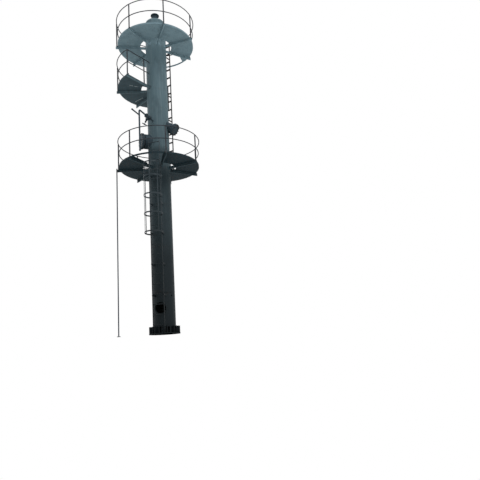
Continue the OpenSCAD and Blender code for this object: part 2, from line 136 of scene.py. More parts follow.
# Joints between deck plates: deck level, azimuths of the welded ones, azimuth and radii of the open ones
JOINTS = (
    (LOW_Z, (48, 99, 150, 202, 304, 355), ()),
    (HALF_Z, (98, 149), ((198, 775, 930), (198, 965, 1122), (133.5, 862, 1326))),
    (TOP_Z, (102, 153, 204, 256, 307, 358), ((118.2, 1054, 1404), (33, 1319, 1431))),
)

# Ladders, and the cage round the lower one
LADDER_R = 600
LADDER_HALF = 215
STILE_T = 10
# Width and height of the pads on the shell, and the height of the lifting lugs'
STAY_PAD = (70, 110)
LUG_PAD = (120, 300)
LUG_Z = 12270
LOW_LADDER = {"az": 251.5, "foot": 150, "top": 7260, "stays": (1350, 2470, 3620, 4750, 5850)}
TOP_LADDER = {"az": 49, "foot": 6300.3, "top": 12520, "stays": (6900, 8400, 9480, 11200)}
RUNG_PITCH = 360
FIRST_RUNG = 150
HOOP_ZS = (3530, 4230, 4930, 5630, 6144)
CAGE_OUT = 248.8
HOOP_IN_R = 329
STRAP_TURNS = (-104, -52, 0, 52, 104)

# The riser stands against the end of a lower beam
RISER_AZ = LOW_BEAMS[3]
RISER_R = 1600 + 21.3

# Nuts, washers and the ends of studs, in shares of the bolt
NUT_WIDE = 1.55
NUT_TALL = 0.85
NUT_CHAMFER = 0.09
WASHER_WIDE = 2.0
WASHER_T = 0.14
STUD_OVER = 1.45

# Stage: the floor's half width, and the suns with their turn, lift, power and spread
FLOOR_HALF_M = 120
SUNS = (("key", 35, 52, 1.5, 50), ("back", 215, 40, 0.7, 60))

# Camera, fitted to the photograph's frame of 480 by 480
EYE = (0.0, -18.388, -0.900)
LENS_MM = 37.53
AIM_TURN = -9.10
AIM_PITCH = 12.91
AIM_ROLL = -3.86


def linear(text):
    """Turns an sRGB hex colour to linear red, green and blue."""
    values = [int(text[i:i + 2], 16) / 255 for i in (1, 3, 5)]
    return tuple(v / 12.92 if v <= 0.04045 else ((v + 0.055) / 1.055) ** 2.4 for v in values)


class ColumnSizes(bpy.types.PropertyGroup):
    """Sizes of the fittings that dress the column."""

    seam_width: bpy.props.FloatProperty(
        name="Seam width", description="Width of a weld seam on the shell", default=0.018,
        min=0.008, max=0.03, unit="LENGTH")
    seam_height: bpy.props.FloatProperty(
        name="Seam height", description="Height of a weld seam over the shell", default=0.003,
        min=0.001, max=0.006, unit="LENGTH")
    pad_thickness: bpy.props.FloatProperty(
        name="Pad thickness", description="Thickness of the pads round the nozzles", default=0.008,
        min=0.004, max=0.012, unit="LENGTH")
    manway_studs: bpy.props.IntProperty(
        name="Manway studs", description="Number of studs round the manway", default=20, min=12, max=24)
    manway_stud: bpy.props.FloatProperty(
        name="Manway stud", description="Diameter of a manway stud", default=0.022,
        min=0.016, max=0.03, unit="LENGTH")
    deck_screws: bpy.props.IntProperty(
        name="Deck screws", description="Screws along each beam", default=6, min=2, max=10)


def paint(label, note, default):
    """A colour that a user may change."""
    return bpy.props.FloatVectorProperty(name=label, description=note, subtype="COLOR", size=3,
                                         default=linear(default), min=0, max=1)


class ColumnPaints(bpy.types.PropertyGroup):
    """Colours of the paints and metals."""

    shell: paint("Shell", "Grey-green paint of the vessel", "#647b83")
    washed: paint("Washed shell", "Where rain has washed the shell pale", "#7d9096")
    # Grime also stands in for painted shade: it darkens the shell and the cage towards the base
    grime_and_shade: paint("Grime", "Soot and oil that darken everything low down", "#0e1417")
    # Soot also stands in for painted shade on the lower decks, curbs and beams
    soot_and_shade: paint("Soot", "Blue-black soot on decks, curbs and beams", "#0c2027")
    nozzle: paint("Nozzles", "Darker paint of nozzles, manway, valve and pipes", "#35424a")
    platform: paint("Platforms", "Paint of decks, curbs and beams", "#7b939c")
    rail: paint("Handrails", "Paint of posts and rails", "#2d3136")
    ladder: paint("Ladders", "Paint of the upper ladder and its stays", "#242728")
    cage: paint("Cage", "Chalky enamel on the cage and the lower ladder", "#333c41")
    riser: paint("Riser", "Paint of the slim riser", "#343a41")
    rust: paint("Rust", "Rust that breaks through the paint", "#4f3526")
    zinc: paint("Zinc", "Dull zinc on studs and clamps", "#4d5152")


def connect(tree, made, inputs):
    """Fills a node's inputs by name or number: a node or a socket is linked, and any other is a value."""
    for key, value in inputs.items():
        if isinstance(key, int):
            socket = made.inputs[key]
        else:
            socket = next(each for each in made.inputs if each.enabled and each.name == key)
        if isinstance(value, bpy.types.Node):
            value = next(each for each in value.outputs if each.enabled)
        if isinstance(value, bpy.types.NodeSocket):
            tree.links.new(value, socket)
        elif socket.type == "RGBA":
            socket.default_value = (value[0], value[1], value[2], 1.0)
        else:
            socket.default_value = value


def node(tree, kind, inputs=None, stops=None, **settings):
    """Adds one node with its settings, links and values, and the stops of a ramp."""
    made = tree.nodes.new("ShaderNode" + kind)
    for key, value in settings.items():
        setattr(made, key, value)
    connect(tree, made, inputs or {})
    if stops:
        marks = made.color_ramp.elements
        for mark, stop in zip(marks, (stops[0], stops[-1])):
            mark.position, mark.color = stop
        for place, colour in stops[1:-1]:
            marks.new(place).color = colour
    return made


def new_material(name, roughness=0.6, specular=0.3):
    """An empty material with its tree, shader and Object coordinates."""
    material = bpy.data.materials.new(name)
    material.use_nodes = True
    tree = material.node_tree
    shader = tree.nodes["Principled BSDF"]
    connect(tree, shader, {"Roughness": roughness, "Specular IOR Level": specular})
    return tree, shader, node(tree, "TexCoord").outputs["Object"]


def patches(tree, coords, size_mm, low, high, amount=1.0, tall=1.0, detail=4.0):
    """Soft patches size_mm wide and tall times as high, as a share from 0 to the amount."""
    scale = 1 / (size_mm * MM)
    place = node(tree, "Mapping", {"Vector": coords, "Scale": (scale, scale, scale / tall)})
    cloud = node(tree, "TexNoise", {"Vector": place, "Scale": 1.0, "Detail": detail, "Roughness": 0.62})
    return node(tree, "MapRange", {"Value": cloud, "From Min": low, "From Max": high, "To Max": amount},
                interpolation_type="SMOOTHSTEP")


def by_height(tree, coords, marks):
    """A share that changes with height, given as pairs of metres and share."""
    height = node(tree, "SeparateXYZ", {"Vector": coords}).outputs["Z"]
    level = node(tree, "Math", {0: height, 1: TOP_M}, operation="DIVIDE")
    return node(tree, "ValToRGB", {"Fac": level},
                [(metres / TOP_M, (share, share, share, 1)) for metres, share in marks])


def finish_paint(tree, shader, coords, colour, rust, spots, grain_mm, depth_mm):
    """Lays rust spots over a paint; roughness and bump follow the spots, the brush marks and the dust."""
    grain = patches(tree, coords, grain_mm, 0.3, 0.7, 0.5)
    relief = node(tree, "Math", {0: grain, 1: spots}, operation="ADD")
    connect(tree, shader, {
        "Base Color": node(tree, "Mix", {"Factor": spots, "A": colour, "B": rust}, data_type="RGBA"),
        "Roughness": node(tree, "MapRange", {"Value": spots, "To Min": 0.55, "To Max": 0.9}),
        "Normal": node(tree, "Bump", {"Height": relief, "Distance": depth_mm * MM, "Strength": 0.6})})


def shell_enamel(paints):
    """Alkyd enamel on rolled carbon steel: satin, washed pale in runs, rusty at seams, darker low down with
    soot and painted shade.
    """
    tree, shader, coords = new_material("shaded_weathered_alkyd_enamel", 0.55, 0.12)
    # Rain runs about 50 mm wide and over a metre long
    runs = patches(tree, coords, 52, 0.44, 0.7, 0.5, 26, 5.0)
    colour = node(tree, "Mix", {"Factor": runs, "A": paints.shell, "B": paints.washed}, data_type="RGBA")
    dull = patches(tree, coords, 380, 0.44, 0.68, 0.45, 2.2)
    colour = node(tree, "Mix", {"Factor": dull, "A": colour, "B": linear("#495b62")}, data_type="RGBA")
    # Darker towards the base with soot, oil and painted shade: little at the top, a painted shadow just
    # under the lower platform, and nearly all at the base
    soot_and_shade = by_height(tree, coords, (
        (0, 0.98), (2.6, 0.95), (4.9, 0.8), (5.7, 0.83), (6.29, 0.8),
        (6.36, 0.69), (6.93, 0.68), (7.08, 0.46), (8.9, 0.3), (11.5, 0.06)))
    colour = node(tree, "Mix", {"Factor": soot_and_shade, "A": colour, "B": paints.grime_and_shade}, data_type="RGBA")
    # Rust freckles on each seam and behind each platform's pads
    rusty = (0.21, 1.5, 3.15, 4.8, 6.2, 8.7, 9.56, 10.63, 11.47, 12.56)
    near = by_height(tree, coords, [mark for z in rusty for mark in ((z - 0.2, 0), (z, 0.9), (z + 0.04, 0))])
    freckles = patches(tree, coords, 24, 0.56, 0.7, 0.9, 3.0, 6.0)
    spots = node(tree, "Math", {0: freckles, 1: near}, operation="MULTIPLY")
    finish_paint(tree, shader, coords, colour, paints.rust, spots, 9, 0.9)


def nozzle_enamel(paints):
    """Darker enamel on forged flanges, valve and pipes: satin, with dull clouds and rust in the corners."""
    tree, shader, coords = new_material("dark_nozzle_enamel", 0.72, 0.04)
    clouds = patches(tree, coords, 150, 0.42, 0.66, 0.6)
    pale = linear("#46535a")
    colour = node(tree, "Mix", {"Factor": clouds, "A": paints.nozzle, "B": pale}, data_type="RGBA")
    spots = patches(tree, coords, 22, 0.6, 0.74, 0.8, 1.4, 6.0)
    finish_paint(tree, shader, coords, colour, paints.rust, spots, 7, 0.7)


def chequer(tree, coords):
    """The raised lozenges of tread plate, 34 mm apart, lying and upright by turns."""
    pitch = 1 / (34 * MM)
    steps = node(tree, "Mapping", {"Vector": coords, "Scale": (pitch, pitch, 0)})
    cell = node(tree, "VectorMath", {0: steps}, operation="FLOOR")
    total = node(tree, "VectorMath", {0: cell, 1: (1, 1, 0)}, operation="DOT_PRODUCT")
    parity = node(tree, "Math", {0: total, 1: 1.0}, operation="PINGPONG")
    inner = node(tree, "VectorMath", {0: steps}, operation="FRACTION")
    centred = node(tree, "VectorMath", {0: inner, 1: (0.5, 0.5, 0)}, operation="SUBTRACT")
    size = node(tree, "VectorMath", {0: centred}, operation="ABSOLUTE")
    lying = node(tree, "VectorMath", {0: size, 1: (1, 3.4, 0)}, operation="DOT_PRODUCT")
    upright = node(tree, "VectorMath", {0: size, 1: (3.4, 1, 0)}, operation="DOT_PRODUCT")
    reach = node(tree, "Mix", {"Factor": parity, "A": lying, "B": upright}, data_type="FLOAT")
    return node(tree, "MapRange", {"Value": reach, "From Min": 0.46, "From Max": 0.36},
                interpolation_type="SMOOTHSTEP")


def platform_paint(name, paints, marks):
    """Thick paint on tread plate and rolled beams: dull and gritty, rubbed on the tread, rusty in places."""
    tree, shader, coords = new_material(name, 0.72, 0.12)
    clouds = patches(tree, coords, 240, 0.4, 0.66, 0.5)
    dull = linear("#677f89")
    colour = node(tree, "Mix", {"Factor": clouds, "A": paints.platform, "B": dull}, data_type="RGBA")
    # Darker the lower a deck stands: soot and painted shade of the dim undersides
    soot_and_shade = by_height(tree, coords, marks)
    colour = node(tree, "Mix", {"Factor": soot_and_shade, "A": colour, "B": paints.soot_and_shade}, data_type="RGBA")
    upward = node(tree, "SeparateXYZ", {"Vector": coords.node.outputs["Normal"]}).outputs["Z"]
    tread = node(tree, "MapRange", {"Value": upward, "From Min": 0.6, "From Max": 0.9})
    lozenges = node(tree, "Math", {0: chequer(tree, coords), 1: tread}, operation="MULTIPLY")
    # Shoes rub the crowns of the lozenges paler than the plate between them
    rubbed = node(tree, "Math", {0: lozenges, 1: 0.4}, operation="MULTIPLY")
    colour = node(tree, "Mix", {"Factor": rubbed, "A": colour, "B": linear("#7b7f7e")}, data_type="RGBA")
    spots = patches(tree, coords, 40, 0.55, 0.7, 0.75, 1.0, 6.0)
    grit = patches(tree, coords, 7, 0.3, 0.7, 0.25)
    relief = node(tree, "Math", {0: grit, 1: lozenges}, operation="ADD")
    connect(tree, shader, {
        "Base Color": node(tree, "Mix", {"Factor": spots, "A": colour, "B": paints.rust}, data_type="RGBA"),
        "Normal": node(tree, "Bump", {"Height": relief, "Distance": 1.5 * MM, "Strength": 0.7})})


def tube_enamel(name, paints, colour, pale, rusting, marks=((0, 0.0), (1, 0.0))):
    """Brushed enamel on tube or flat bar: satin, chalky in runs, darker by its marks with soot and painted
    shade, rusty in spots.
    """
    tree, shader, coords = new_material(name, 0.6, 0.15)
    chalky = patches(tree, coords, 170, 0.42, 0.66, 0.6, 1.5)
    shade = node(tree, "Mix", {"Factor": chalky, "A": colour, "B": pale}, data_type="RGBA")
    shade = node(tree, "Mix", {"Factor": by_height(tree, coords, marks), "A": shade, "B": paints.grime_and_shade},
                 data_type="RGBA")
    spots = patches(tree, coords, 40, 0.62 - rusting, 0.76 - rusting, 0.85, 1.6, 6.0)
    finish_paint(tree, shader, coords, shade, paints.rust, spots, 6, 0.6)


def dull_zinc(paints):
    """Hot-dip zinc on studs, nuts and clamps: grey, part metallic, clouded and stained."""
    tree, shader, coords = new_material("dull_zinc", 0.55, 0.5)
    clouds = patches(tree, coords, 13, 0.4, 0.65, 0.7)
    brown = linear("#3a3937")
    colour = node(tree, "Mix", {"Factor": clouds, "A": paints.zinc, "B": brown}, data_type="RGBA")
    stain = patches(tree, coords, 36, 0.52, 0.68, 0.7)
    speck = patches(tree, coords, 5, 0.3, 0.7)
    connect(tree, shader, {
        "Base Color": node(tree, "Mix", {"Factor": stain, "A": colour, "B": paints.rust}, data_type="RGBA"),
        "Metallic": 0.5,
        "Normal": node(tree, "Bump", {"Height": speck, "Distance": 0.3 * MM, "Strength": 0.4})})


def joint_sealant():
    """Brushed joint sealant between deck plates: pale, chalky and matt, dirty in patches."""
    tree, shader, coords = new_material("pale_joint_sealant", 0.8, 0.2)
    dirt = patches(tree, coords, 30, 0.45, 0.7, 0.7)
    chalk = linear("#b3bdbf")
    grey = linear("#5d6a6e")
    connect(tree, shader, {
        "Base Color": node(tree, "Mix", {"Factor": dirt, "A": chalk, "B": grey}, data_type="RGBA"),
        "Normal": node(tree, "Bump", {"Height": dirt, "Distance": 0.5 * MM, "Strength": 0.5})})


def graphite():
    """Compressed graphite of the gaskets: near black and matt."""
    tree, shader, coords = new_material("graphite_gasket", 0.85)
    speck = patches(tree, coords, 3, 0.4, 0.7)
    black = linear("#141516")
    grey = linear("#262728")
    connect(tree, shader, {
        "Base Color": node(tree, "Mix", {"Factor": speck, "A": black, "B": grey}, data_type="RGBA")})


def shifted(place, x, y, z):
    """A place moved along its own axes by millimetres."""
    return place @ Matrix.Translation((x * MM, y * MM, z * MM))


def turned(place, degrees, axis):
    """A place turned about one of its own axes."""
    return place @ Matrix.Rotation(math.radians(degrees), 4, axis)


def at(az, radius, height):
    """Place at an azimuth, a radius and a height, with +X outward."""
    return shifted(turned(Matrix(), az, "Z"), radius, 0, height)


def along_axis(nozzle, out=0.0):
    """Place on a nozzle's axis, out millimetres from the shell, with +Z along the axis."""
    start = turned(at(nozzle["az"], SHELL_R, nozzle["z"]), nozzle["slope"], "Y")
    return turned(shifted(start, out, 0, 0), 90, "Y")


def rod(bm, place, width, length, sides=12):
    """A round bar from a place along its +Z."""
    middle = shifted(place, 0, 0, length / 2)
    return bmesh.ops.create_cone(bm, cap_ends=True, segments=sides, radius1=width * MM / 2,
                                 radius2=width * MM / 2, depth=length * MM, matrix=middle)["verts"]


def chamfer(bm, edges, width):
    """Chamfers edges by a width in millimetres."""
    bmesh.ops.bevel(bm, geom=edges, offset=width * MM, offset_type="OFFSET", segments=1, profile=0.5,
                    affect="EDGES", material=-1)


def block(bm, place, size):
    """A box centred on a place, with its edges chamfered by 0.12 of its thinnest side."""
    shape = place @ Matrix.Diagonal((size[0] * MM, size[1] * MM, size[2] * MM, 1))
    verts = bmesh.ops.create_cube(bm, size=1.0, matrix=shape)["verts"]
    edges = list({edge for vert in verts for edge in vert.link_edges})
    chamfer(bm, edges, min(size) * 0.12)


def nut(bm, place, bolt):
    """A hexagon nut for a bolt of that diameter, standing on a place, with its outer rim chamfered."""
    size = bolt * NUT_WIDE / math.cos(math.radians(30))
    tall = bolt * NUT_TALL
    middle = shifted(place, 0, 0, tall / 2)
    verts = bmesh.ops.create_cone(bm, cap_ends=True, segments=6, radius1=size * MM / 2,
                                  radius2=size * MM / 2, depth=tall * MM, matrix=middle)["verts"]
    top = place @ Vector((0, 0, tall * MM))
    axis = (place.to_3x3() @ Vector((0, 0, 1))).normalized()
    rim = [edge for vert in verts for edge in vert.link_edges
           if all(abs((end.co - top).dot(axis)) < 1e-6 for end in edge.verts)]
    chamfer(bm, list(set(rim)), bolt * NUT_CHAMFER)


def washer(bm, place, bolt):
    """A flat washer under a nut."""
    rod(bm, place, bolt * WASHER_WIDE, bolt * WASHER_T, 16)


def stud(bm, place, bolt, grip):
    """A stud through a joint that is grip thick, with nuts and washers; the place is its low side."""
    over = bolt * STUD_OVER
    rod(bm, shifted(place, 0, 0, -over), bolt, grip + 2 * over)
    for face in (shifted(place, 0, 0, grip), turned(place, 180, "X")):
        washer(bm, face, bolt)
        nut(bm, shifted(face, 0, 0, bolt * WASHER_T), bolt)


def circle_of(place, count, radius, first=0.5):
    """Places on a circle round a place's +Z, starting at that share of a step."""
    turns = [360 * (i + first) / count for i in range(count)]
    return [shifted(turned(place, turn, "Z"), radius, 0, 0) for turn in turns]


def spin(bm, geom, place, steps):
    """Turns a profile once round a place's +Z."""
    axis = place.to_3x3() @ Vector((0, 0, 1))
    bmesh.ops.spin(bm, geom=geom, cent=place.translation, axis=axis, dvec=(0, 0, 0), angle=math.tau,
                   steps=steps, use_merge=True, use_duplicate=False)


def hoop(bm, place, radius, tall, thick, steps=72, sides=8):
    """A full ring of elliptical section round a place's +Z: radius to its middle, tall along Z."""
    across = turned(shifted(place, radius, 0, 0), 90, "X")
    shape = across @ Matrix.Diagonal((thick / tall, 1, 1, 1))
    verts = bmesh.ops.create_circle(bm, cap_ends=False, segments=sides, radius=tall * MM / 2,
                                    matrix=shape)["verts"]
    edges = list({edge for vert in verts for edge in vert.link_edges})
    spin(bm, edges, place, steps)


def lathe(bm, place, profile, closed=False):
    """A body turned about a place's +Z from radii and heights; an open profile has its ends on the axis."""
    made = bmesh.new()
    verts = [made.verts.new(place @ Vector((radius * MM, 0, height * MM))) for radius, height in profile]
    edges = [made.edges.new(pair) for pair in zip(verts, verts[1:])]
    if closed:
        edges.append(made.edges.new((verts[-1], verts[0])))
    spin(made, verts + edges, place, 64)
    bmesh.ops.remove_doubles(made, verts=made.verts, dist=0.1 * MM)
    copy_into(bm, made)


def extrude(made, faces, way):
    """Extrudes faces along a vector in metres."""
    grown = bmesh.ops.extrude_face_region(made, geom=faces)["geom"]
    moved = [item for item in grown if isinstance(item, bmesh.types.BMVert)]
    bmesh.ops.translate(made, vec=way, verts=moved)


def rib(bm, place, outline, thick):
    """A flat rib under a neck; its outline is given as distances below the axis and along it."""
    made = bmesh.new()
    side = Vector((0, thick * MM / 2, 0))
    corners = [place @ (Vector((down * MM, 0, out * MM)) - side) for down, out in outline]
    face = made.faces.new([made.verts.new(corner) for corner in corners])
    extrude(made, [face], place.to_3x3() @ (side * 2))
    copy_into(bm, made)


def to_shell(vert, place, radius):
    """Moves a point along a place's +Z by as much as takes the ring that it lies on to the shell."""
    local = place.inverted() @ vert.co
    turn = math.atan2(local.y, local.x)
    start = place @ Vector((radius * MM * math.cos(turn), radius * MM * math.sin(turn), 0))
    way = place.to_3x3() @ Vector((0, 0, 1))
    # A quadratic gives where the line along the way meets the shell
    a = way.x ** 2 + way.y ** 2
    b = start.x * way.x + start.y * way.y
    c = start.x ** 2 + start.y ** 2 - (SHELL_R * MM) ** 2
    step = (-b + math.sqrt(max(b * b - a * c, 0))) / a
    vert.co += way * step


def saddle_bead(bm, nozzle, steps=72):
    """A fillet weld where a nozzle's neck meets the shell."""
    made = bmesh.new()
    place = along_axis(nozzle)
    hoop(made, place, nozzle["neck"], nozzle["bead"], nozzle["bead"], steps)
    for vert in made.verts:
        to_shell(vert, place, nozzle["neck"])
    copy_into(bm, made)


def copy_into(bm, made):
    """Adds one bmesh to another and frees it."""
    mesh = bpy.data.meshes.new("part")
    made.to_mesh(mesh)
    made.free()
    bm.from_mesh(mesh)
    bpy.data.meshes.remove(mesh)


def thicken(bm, made, thick):
    """Gives a sheet on the shell its thickness, in metres and outward, and adds it to the piece."""
    level = Vector((1, 1, 0))
    outward = sum((face.normal.dot(face.calc_center_median() * level) for face in made.faces), 0.0)
    if outward < 0:
        bmesh.ops.reverse_faces(made, faces=made.faces)
    bmesh.ops.solidify(made, geom=made.faces, thickness=-thick)
    copy_into(bm, made)


def saddle_pad(bm, nozzle, inner, outer, thick):
    """A reinforcing plate round a neck, bent to the shell."""
    made = bmesh.new()
    place = along_axis(nozzle)
    for radius in (inner, outer):
        bmesh.ops.create_circle(made, cap_ends=False, segments=96, radius=radius * MM, matrix=place)
    bmesh.ops.bridge_loops(made, edges=list(made.edges))
    cross = [edge for edge in made.edges if abs(edge.calc_length() - (outer - inner) * MM) < 0.2 * MM]
    bmesh.ops.subdivide_edges(made, edges=cross, cuts=3, use_grid_fill=False)
    for vert in made.verts:
        local = place.inverted() @ vert.co
        to_shell(vert, place, math.hypot(local.x, local.y) / MM)
    bmesh.ops.recalc_face_normals(made, faces=made.faces)
    thicken(bm, made, thick)


def curved_plate(bm, az, height, wide, tall, thick):
    """A small plate bent to the shell, centred at an azimuth and a height."""
    made = bmesh.new()
    flat = at(az, SHELL_R, height)
    shape = turned(flat, 90, "Y") @ Matrix.Diagonal((tall * MM, wide * MM, 1, 1))
    bmesh.ops.create_grid(made, x_segments=2, y_segments=10, size=0.5, matrix=shape)
    for vert in made.verts:
        local = flat.inverted() @ vert.co
        back = math.sqrt((SHELL_R * MM) ** 2 - local.y ** 2) - SHELL_R * MM
        vert.co = flat @ Vector((back, local.y, local.z))
    thicken(bm, made, thick)


def trim(bm, place, turn):
    """Cuts a mesh with an upright plane through a place and takes away what lies towards the turn."""
    away = Vector((math.cos(math.radians(turn)), math.sin(math.radians(turn)), 0))
    bmesh.ops.bisect_plane(bm, geom=bm.verts[:] + bm.edges[:] + bm.faces[:], plane_co=place, plane_no=away,
                           clear_outer=True, clear_inner=False)


def deck_plate(bm, z, inner, outer, first, last, cuts=()):
    """Part of a ring of deck plate with its tread at z, between two azimuths and trimmed by planes."""
    made = bmesh.new()
    for radius in (inner, outer):
        bmesh.ops.create_circle(made, cap_ends=False, segments=180, radius=radius * MM, matrix=at(0, 0, z))
    bmesh.ops.bridge_loops(made, edges=made.edges[:])
    for place, turn in ((Vector(), first - 90), (Vector(), last + 90)) + tuple(cuts):
        trim(made, place, turn)
    bmesh.ops.remove_doubles(made, verts=made.verts, dist=0.1 * MM)
    extrude(made, made.faces[:], (0, 0, -DECK_T * MM))
    copy_into(bm, made)


def finish_piece(name, bm, material, smooth=True):
    """Makes a finished piece of a bmesh, at the origin, riding on the column."""
    bmesh.ops.recalc_face_normals(bm, faces=bm.faces)
    mesh = bpy.data.meshes.new(name)
    bm.to_mesh(mesh)
    bm.free()
    piece = bpy.data.objects.new(name, mesh)
    bpy.context.scene.collection.objects.link(piece)
    mesh.materials.append(bpy.data.materials[material])
    if smooth:
        mesh.shade_smooth()
        mesh.set_sharp_from_angle(angle=math.radians(35))
    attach(piece, "root")
    return piece


def dress(names, material):
    """Gives CAD nodes a material."""
    for name in names:
        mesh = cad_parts[name].data
        mesh.materials.clear()
        mesh.materials.append(bpy.data.materials[material])


def post_beads(bm, post, foot):
    """Weld beads round a post: foot millimetres over its place, and under its top rail."""
    hoop(bm, shifted(post, 0, 0, foot), 25, 12, 12, 24)
    hoop(bm, shifted(post, 0, 0, RAIL_H - 18), 20, 10, 14, 24)


def rung_heights(ladder):
    """Heights of all rungs of a ladder."""
    first = ladder["foot"] + FIRST_RUNG
    return [first + i * RUNG_PITCH for i in range(int((ladder["top"] - first) // RUNG_PITCH) + 1)]


def stile_face(ladder, side, radius, height):
    """Place on the inner face of a ladder's stile, with +Z away from the ladder's middle."""
    spot = shifted(at(ladder["az"], radius, height), 0, side * (LADDER_HALF - STILE_T), 0)
    return turned(spot, -90 * side, "X")


class COLUMN_OT_finishes(bpy.types.Operator):
    """Makes the paints and metals and lays them on the CAD nodes"""

    bl_idname = "column.finishes"
    bl_label = "Paints and metals"

    def execute(self, context):
        paints = context.scene.column_paints
        shell_enamel(paints)
        nozzle_enamel(paints)
        # Soot and painted shade darken the lower platforms: the upper one is nearly clean, the half one
        # darker and the lower one near black; the beams get less of it
        platform_paint("sooty_shaded_platform_paint", paints,
                       ((0, 0.99), (6.4, 0.96), (7.4, 0.9), (9.72, 0.78), (11.3, 0.1), (12, 0.05)))
        # The beams take a lighter copy of the platform paint, painted light against the shade under the
        # decks
        platform_paint("lightened_beam_paint", paints,
                       ((0, 0.9), (6.4, 0.86), (7.4, 0.8), (9.72, 0.56), (11.3, 0.05), (12, 0.02)))
        tube_enamel("faded_rail_enamel", paints, paints.rail, linear("#4c5156"), -0.02)
        tube_enamel("rusty_ladder_enamel", paints, paints.ladder, linear("#3f3f3d"), 0.05)
        # The cage darkens towards the base with soot and painted shade
        tube_enamel("chalky_cage_enamel", paints, paints.cage, linear("#4a5256"), -0.02,
                    ((0, 0.96), (2.2, 0.9), (3.6, 0.6), (5.0, 0.1), (7.4, 0.0)))
        tube_enamel("grey_riser_enamel", paints, paints.riser, linear("#485057"), -0.04)
        dull_zinc(paints)
        joint_sealant()
        graphite()
        levels = ("lower", "half", "upper")
        finishes = {
            "sooty_shaded_platform_paint": [level + part for level in levels for part in ("_deck", "_curb")],
            "lightened_beam_paint": [level + "_beams" for level in levels],
            "faded_rail_enamel": [level + part for level in levels for part in ("_posts", "_rails")],
            "rusty_ladder_enamel": ["upper_ladder", "upper_stays"],
            "chalky_cage_enamel": ["lower_ladder", "lower_stays", "cage_hoops", "cage_straps"],
            "dark_nozzle_enamel": [
                "manway_neck", "manway_flange", "manway_cover", "manway_hinge", "drain_nozzle",
                "drain_cover", "feed_nozzle", "feed_valve", "feed_handwheel", "feed_pipe",
                "vapour_nozzle"],
            "grey_riser_enamel": ["riser_pipe"],
        }
        given = {name for names in finishes.values() for name in names}
        finishes["shaded_weathered_alkyd_enamel"] = [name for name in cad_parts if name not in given]
        for material, names in finishes.items():
            dress(names, material)
        return {"FINISHED"}


class COLUMN_OT_weld_seams(bpy.types.Operator):
    """Lays the weld seams round and along the shell"""

    bl_idname = "column.weld_seams"
    bl_label = "Weld seams"

    def execute(self, context):
        sizes = context.scene.column_sizes
        wide = sizes.seam_width / MM
        high = sizes.seam_height / MM
        bm = bmesh.new()
        rings = sorted(HEAD_SEAMS + COURSE_SEAMS)
        for z in rings:
            hoop(bm, at(0, 0, z), SHELL_R, wide, 2 * high, 120)
        # An upright seam is a rod of full width, squeezed to the seam's section
        full = 1000
        squeeze = Matrix.Diagonal((2 * high / full, wide / full, 1, 1))
        for low, top, az in zip(rings, rings[1:], LONG_SEAM_AZ):
            verts = rod(bm, at(az, SHELL_R, low), full, top - low, 10)
            flat = at(az, SHELL_R, 0)
            bmesh.ops.transform(bm, matrix=flat @ squeeze @ flat.inverted(), verts=verts)
        # The fillet weld between the skirt and the base ring
        hoop(bm, at(0, 0, BASE_T), SHELL_R + 3, 12, 12, 120)
        finish_piece("weld_seams", bm, "shaded_weathered_alkyd_enamel")
        return {"FINISHED"}


class COLUMN_OT_nozzle_pads(bpy.types.Operator):
    """Bends the reinforcing pads to the shell and welds the necks"""

    bl_idname = "column.nozzle_pads"
    bl_label = "Nozzle pads and fillets"

    def execute(self, context):
        thick = context.scene.column_sizes.pad_thickness
        bm = bmesh.new()
        # Each pad laps a little under its neck
        for nozzle, lap in ((MANWAY, 1), (DRAIN, 1), (FEED, 0.5)):
            saddle_pad(bm, nozzle, nozzle["neck"] - lap, nozzle["pad"], thick)
        for nozzle in (MANWAY, DRAIN, FEED, SKIRT_HOLE):
            saddle_bead(bm, nozzle)
        for vent in VENTS:
            saddle_bead(bm, vent, 32)
        finish_piece("nozzle_pads", bm, "shaded_weathered_alkyd_enamel")
        return {"FINISHED"}


class COLUMN_OT_nozzle_bodies(bpy.types.Operator):
    """Turns the wide drain nozzle with its cover, and the collar that thickens the manway's neck"""

    bl_idname = "column.nozzle_bodies"
    bl_label = "Nozzle bodies"

    def execute(self, context):
        neck = DRAIN["neck"]
        wide = DRAIN_FLANGE_R
        edge = 3
        back = DRAIN_LEN - DRAIN_FLANGE_T
        joint = DRAIN_LEN + GASKET_T
        cover = joint + DRAIN_COVER_T
        drain = bmesh.new()
        # From inside the shell outward: neck and flange, faces at the gasket, cover's rim and middle
        lathe(drain, along_axis(DRAIN), (
            (0, -120), (neck, -120), (neck, back - 30), (neck + 8, back),
            (wide - edge, back), (wide, back + edge), (wide, DRAIN_LEN - edge), (wide - edge, DRAIN_LEN),
            (DRAIN_FACE_R, DRAIN_LEN), (DRAIN_FACE_R, joint),
            (wide - edge, joint), (wide, joint + edge), (wide, cover - edge), (wide - edge, cover),
            (166, cover), (162, cover + edge), (0, cover + edge)))
        # The rib is sunk 8 mm into the neck and 2 mm into the flange
        top = neck - 8
        foot = wide - 12
        rib(drain, along_axis(DRAIN), ((top, 90), (top, back + 2), (foot, back + 2), (foot, 138)), 16)
        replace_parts(finish_piece("drain_body", drain, "dark_nozzle_enamel"),
                    "drain_nozzle", "drain_cover")
        collar = bmesh.new()
        outer = MANWAY["neck"]
        inner = MAN_NECK_R + 1
        lathe(collar, along_axis(MANWAY), (
            (inner, -124), (outer, -124), (outer, 172), (outer - 14, 184), (inner, 184)), True)
        finish_piece("manway_collar", collar, "dark_nozzle_enamel")
        return {"FINISHED"}


